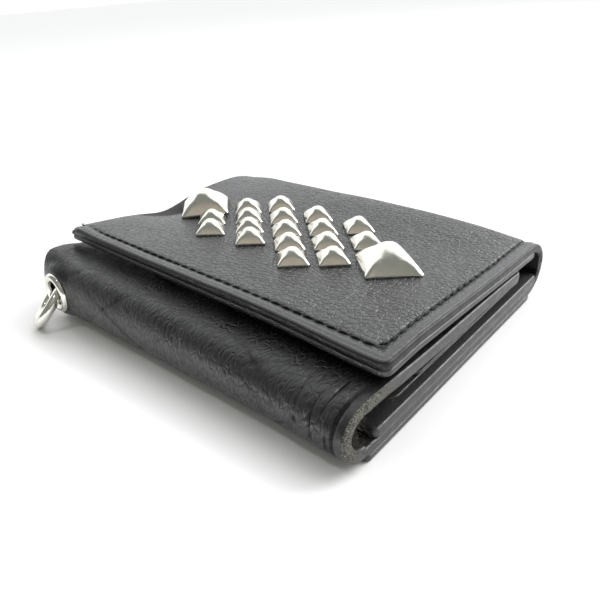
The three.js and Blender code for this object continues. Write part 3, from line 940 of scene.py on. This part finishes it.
def inner_layers():
    panel("slip_pocket", "back", ["back_slip_pocket"], (-35, END), (NEAR_CREASE - 0.6, 35.6), level(0.0),
          1.48, corners=(1.0, 2.5), bulge=0.5, flat=1.0, up=False,
          materials=[GRAIN, EDGE, FLESH])
    panel("bill_pocket_lining", "back", ["bill_lining"], (-END, END), (-32.4, 38.0), level(5.4), 1.92,
          corners=(1.2, 1.5), bulge=0.5, flat=1.0)
    panel("card_pocket_lower", "back", ["card_pocket_1"], (-46.5, 46.5), (-24, 28), level(5.8), 0.55)
    panel("card_pocket_upper", "back", ["card_pocket_2"], (-46.5, 46.5), (-16, 28), level(6.4), 0.55)
    panel("front_lining_panel", "front", ["front_lining"], (-END + 2.5, END - 2.5),
          (-29.4, FRONT_TIP - 1.2), under(front_top, 3.5), 0.85, corners=(2, 4), up=False)
    panel("coin_pocket_panel", "front", ["coin_pocket"], (-44.5, 20), (-23.4, 16.6),
          under(front_top, 4.8), 1.2, bulge=0.4, up=False)
    panel("flap_lining_panel", "flap", ["flap_lining"], (-END + 0.05, END - 0.05), (NEAR_EDGE + 0.05, 36.0),
          under(flap_top, 2.95), 1.52, bulge=0.5, flat=0.6, up=False, left_corner=1.1, warp=swell)


def far_fold_strip():
    """Upright lining inside the far fold."""
    def path(x, q):
        z0, z1 = 5.6, flap_top(x, SPINE_Y) - 3.6
        return 39.0 + 0 * q, z0 + q * (z1 - z0)

    xs = stations(-48, 48, 0.6, 1.8, 2, 2)
    lining, _ = leather("far_fold_strip", path, xs, np.linspace(0, 1, 10), 1, 0.5, [LINING, EDGE, LINING],
                        half=END - 0.2, bulge=0.2, corners=(1, 1))
    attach(lining, "far_fold")
    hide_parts("far_fold_lining")


# ---- metal
def frame_on(surface, x, y, turn):
    """Placement on a surface, turned about its normal."""
    slope_x, slope_y = slopes(surface, x, y, 0.5)
    normal = unit(np.array([-slope_x, -slope_y, 1.0]))
    along = np.array([np.cos(turn), np.sin(turn), 0])
    return placed(unit(along - normal * (along @ normal)), normal, (x, y, surface(x, y)))


STUD_TURN = np.radians(46)
SMALL = (7.1, 3.4)  # side and height of a small stud
LARGE = (12.7, 5.6)
# The stud pattern's own axes are turned by STUD_TURN and start at the flap's free edge.
COLUMNS = [  # (across, first stud, pitch, number of studs)
    (2.5, 29.0, 8.2, 2), (12.3, 21.3, 7.6, 4), (21.5, 7.2, 9.2, 5),
    (30.6, 6.5, 9.25, 4), (39.9, 14.8, 10.4, 2)]
LARGE_AT = [(42.1, 2.0), (0.5, 47.5)]


def stud_list():
    cos, sin = np.cos(STUD_TURN), np.sin(STUD_TURN)
    place = lambda p, q: (p * cos - q * sin, NEAR_EDGE + p * sin + q * cos)
    for c, (p, q, pitch, count) in enumerate(COLUMNS):
        for row in range(count):
            yield f"stud_small_{c + 1}_{row + 1}", *SMALL, place(p, q + pitch * row)
    for i, (p, q) in enumerate(LARGE_AT):
        yield f"stud_large_{i + 1}", *LARGE, place(p, q)


def base_lift(place, side):
    """How far a stud has to rise to clear the leather under its base."""
    back = np.linalg.inv(place)
    rises = []
    for u in (-1, -0.5, 0, 0.5, 1):
        for v in (-1, -0.5, 0, 0.5, 1):
            world = place @ np.array([u * side / 2, v * side / 2, 0, 1])
            world[2] = flap_top(world[0], world[1])
            rises.append((back @ world)[2])
    return max(rises) + 0.12


STUD_UNDER = -0.45  # the base is pressed into the leather
TIP_SOFTNESS = 0.07
STUD_STEPS = [0.985, 0.955, 0.91, 0.85, 0.77, 0.68, 0.58, 0.48, 0.38, 0.29, 0.21, 0.14, 0.08, 0.03]


def stud_mesh(side, height, lift, place):
    """Pressed pyramid: pillowed faces, soft ridges, sharp base corners and an arched base edge."""
    steps = np.arange(12) / 6 - 1
    walk = np.array([[(1, t), (-t, 1), (-1, -t), (t, -1)][k] for k in range(4) for t in steps])
    skirt, arch = (0.5, 0.3) if side > 10 else (0.42, 0.14)
    along = np.abs(walk).min(1)
    rings = [walk * side / 2] * 2
    z = [STUD_UNDER + arch * (1 - along**2) * 1.2, skirt - 0.12 + 0 * along]
    for m in STUD_STEPS:
        power = 3.0 + 24 * smooth(0.5, 1.0, m)
        norm = (np.abs(walk[:, 0]) ** power + np.abs(walk[:, 1]) ** power) ** (1 / power)
        rings.append(walk / norm[:, None] * m * side / 2)
        low, high = 0.2646, 1.0344  # the square root at m = 0 and m = 1
        tip = (np.sqrt(m * m + TIP_SOFTNESS) - low) / (high - low)
        z.append(skirt + (height - skirt) * (1 - tip**1.25) + 0 * along)
    count = len(walk)
    verts = np.concatenate([np.column_stack([r, h]) for r, h in zip(rings, z)])
    top = len(verts)
    verts = np.concatenate([verts, [[0, 0, height], [0, 0, STUD_UNDER]]])
    last = top - count
    faces = bands(last, count)
    for i, j in pairs(count):
        faces += [(last + i, last + j, top), (j, i, top + 1)]
    verts[:, 2] += lift
    return verts @ place[:3, :3].T + place[:3, 3], faces


def add_piece(name, verts, faces, material, body, cad):
    obj = build(name, verts, faces, [material])
    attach(obj, body)
    if cad:
        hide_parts(*cad)


def studs():
    for name, side, height, (x, y) in stud_list():
        place = frame_on(flap_top, x, y, STUD_TURN)
        verts, faces = stud_mesh(side, height, base_lift(place, side), place)
        add_piece("visual_" + name, verts, faces, NICKEL, "flap", [name])


def eyelet():
    lip, ring_at, waist = 1.1, 4.05, 0.4  # the lip is round, with its middle at ring_at
    barrel, low_end, high_end = 3.6, -1.35, 0.55

    def arc(middle, low, high, sign, count):
        a = np.radians(np.linspace(low, high, count))
        return list(zip(ring_at + sign * lip * np.cos(a), middle + lip * np.sin(a)))

    profile = arc(waist, 8, 90, 1, 10) + arc(waist, 90, 0, -1, 10)[1:] + arc(-waist, 0, -60, -1, 9)
    profile += [(barrel, low_end), (barrel, high_end), (ring_at + lip - 0.02, high_end)]
    verts, faces = lathe(profile, EYELET)
    add_piece("eyelet_bead", verts, faces, NICKEL, "near_fold", ["eyelet"])
    washer = [(3.9, -1.4), (4.8, -1.4), (5.15, -1.1), (5.15, -0.55), (3.9, -0.55)]
    verts, faces = lathe(washer, EYELET)
    add_piece("eyelet_back_washer", verts, faces, STEEL, "near_fold", ["eyelet_washer"])


RING_AT, RING_AXIS = (-45.88, -39.98, 5.96), (-0.45, -0.591, 0.67)
RING_RADIUS, WIRE_RADIUS = 6.26, 1.28


def chain_ring():
    normal = unit(np.array(RING_AXIS))
    place = placed(unit(np.cross(normal, [0, 0, 1])), normal, RING_AT)
    turn = np.linspace(0, 2 * np.pi, 24, endpoint=False)
    wire = [(RING_RADIUS + WIRE_RADIUS * np.cos(t), WIRE_RADIUS * np.sin(t)) for t in turn]
    verts, faces = lathe(wire, place, 96)
    add_piece("hoop", verts, faces, NICKEL, "ring", ["chain_ring"])


def snap():
    """The snap keeps its CAD shape."""
    for name, material in (("snap_cap", STEEL), ("snap_socket", NICKEL), ("snap_stud", NICKEL),
                           ("snap_rivet_cap", STEEL)):
        node = frame["nodes"][name]
        node.data.materials.clear()
        node.data.materials.append(material)


# ---- stitching
PITCH, STITCH_LENGTH, THREAD_RADIUS = 2.75, 2.2, 0.3
STITCH_LIFT, STITCH_DIP = 0.2, 0.32  # middle above, and ends below, the bottom of the groove


def stitch_run(points, normals):
    """Tubes for the stitches along a polyline, each a low arch between two holes."""
    step = np.linalg.norm(np.diff(points, axis=0), axis=1)
    s = np.concatenate([[0], np.cumsum(step)])
    at = lambda v, d: np.stack([np.interp(d, s, v[:, k]) for k in range(3)], -1)
    parts = []
    for start in np.arange(PITCH * 0.4, s[-1] - STITCH_LENGTH, PITCH):
        jitter = RNG.normal(0, 0.04, 2)
        d = start + jitter[0] + np.linspace(0, STITCH_LENGTH, 7)
        t = np.linspace(-1, 1, 7)
        height = STITCH_LIFT - (STITCH_LIFT + STITCH_DIP) * np.abs(t) ** 3.5
        p = at(points, d) + at(normals, d) * height[:, None]
        side = unit(np.cross(at(normals, d), p[-1] - p[0]))
        p = p + side * (jitter[1] + 0.17 * t)[:, None]
        parts.append(tube(p, THREAD_RADIUS * (1 - 0.25 * np.abs(t) ** 4)))
    return parts


def surface_line(surface, xy, depth):
    """Points a depth under a surface, and its normals there."""
    xy = np.asarray(xy, float)
    slope_x, slope_y = slopes(surface, xy[:, 0], xy[:, 1], 0.1)
    normal = unit(np.stack([-slope_x, -slope_y, np.ones_like(slope_x)], -1))
    return np.column_stack([xy, surface(xy[:, 0], xy[:, 1])]) - normal * depth, normal


def u_line(half, y_open, y_turn, radius, step=0.4):
    """Open rectangle from y_open down to y_turn, with rounded corners there, at x = +-half."""
    straight = np.arange(y_open, y_turn + radius, -step)
    bend = np.radians(np.linspace(0, 90, 12))
    cx, cy = half - radius, y_turn + radius
    left = [(-half, y) for y in straight]
    left += [(-cx - radius * np.cos(a), cy - radius * np.sin(a)) for a in bend]
    across = [(x, y_turn) for x in np.arange(-cx + step, cx, step)]
    return left + across + [(-x, y) for x, y in left[::-1]]


def stitching():
    """Along the flap's near edge and up its right side."""
    row = NEAR_EDGE + STITCH_IN
    line = [(-END + 0.6 + 0.4 * k, row) for k in range(12)]
    line += [p for p in u_line(END - STITCH_IN, SPINE_Y - 1.5, row, 2.8) if p[0] > -END + 5.3]
    points, normals = surface_line(flap_top, line, depth=0.24)
    verts, faces = joined(stitch_run(droop(points), normals))
    add_piece("flap_stitching", verts, faces, THREAD, "flap", [])


# ---- loose fibres
def strands(roots, aims, lengths, radius):
    """Thin curled hairs, each from a root along an aim."""
    parts = []
    for root, aim, length in zip(roots, aims, lengths):
        curl = RNG.normal(0, 0.5, 3)
        t = np.linspace(0, 1, 6)[:, None]
        points = root + unit(aim) * length * t + curl * length * 0.45 * t**2
        parts.append(tube(points, radius * (1 - 0.6 * t[:, 0]), sides=3))
    return joined(parts)


def fold_fibres(count=260):
    """Hairs inside the hollow of the near fold, at its cut end."""
    x = RNG.uniform(45.5, 48.3, count)
    angle = RNG.uniform(-70, 85, count)
    y, z = near_fold(x, angle)
    a = np.radians(angle)
    inward = np.column_stack([0 * a, np.cos(a), -np.sin(a)])
    roots = np.column_stack([x, y, z]) + inward * 2.5
    aims = inward + np.column_stack([RNG.uniform(0, 0.7, count), RNG.normal(0, 0.7, (2, count)).T])
    verts, faces = strands(roots, aims, RNG.uniform(0.8, 2.4, count), 0.045)
    add_piece("fold_fibres", verts, faces, FIBRE, "near_fold", [])


def front_fibres(count=200):
    """Hairs hanging under the right edge of the front panel."""
    x, y = RNG.uniform(44, 48.2, count), RNG.uniform(-33.5, -10, count)
    roots = np.column_stack([x, y, front_top(x, y) - 2.05 - 1.4 * (y > -29.6)])
    aims = np.column_stack([
        RNG.uniform(0, 1.0, count), RNG.normal(0, 0.6, count), -RNG.uniform(0.3, 1.2, count)])
    verts, faces = strands(roots, aims, RNG.uniform(0.3, 1.2, count), 0.045)
    add_piece("front_fibres", verts, faces, FIBRE, "front", [])


def thread_end(count=14):
    """Frayed end of the stitching, at the flap's left end."""
    x, y = -47.9, NEAR_EDGE + STITCH_IN
    roots = np.array([x, y, flap_top(x, y) - 0.25]) + RNG.normal(0, 0.12, (count, 3))
    aims = np.column_stack([
        RNG.uniform(-0.9, -0.1, count), RNG.normal(-0.2, 0.4, count), RNG.uniform(0.2, 0.7, count)])
    verts, faces = strands(roots, aims, RNG.uniform(0.6, 1.5, count), 0.09)
    add_piece("thread_end", verts, faces, THREAD, "flap", [])


near_fold_and_front()
flap_panel(start=back_panel())
inner_layers()
far_fold_strip()
studs()
eyelet()
chain_ring()
snap()
stitching()
fold_fibres()
front_fibres()
thread_end()

bpy.context.scene.view_settings.view_transform = "Standard"
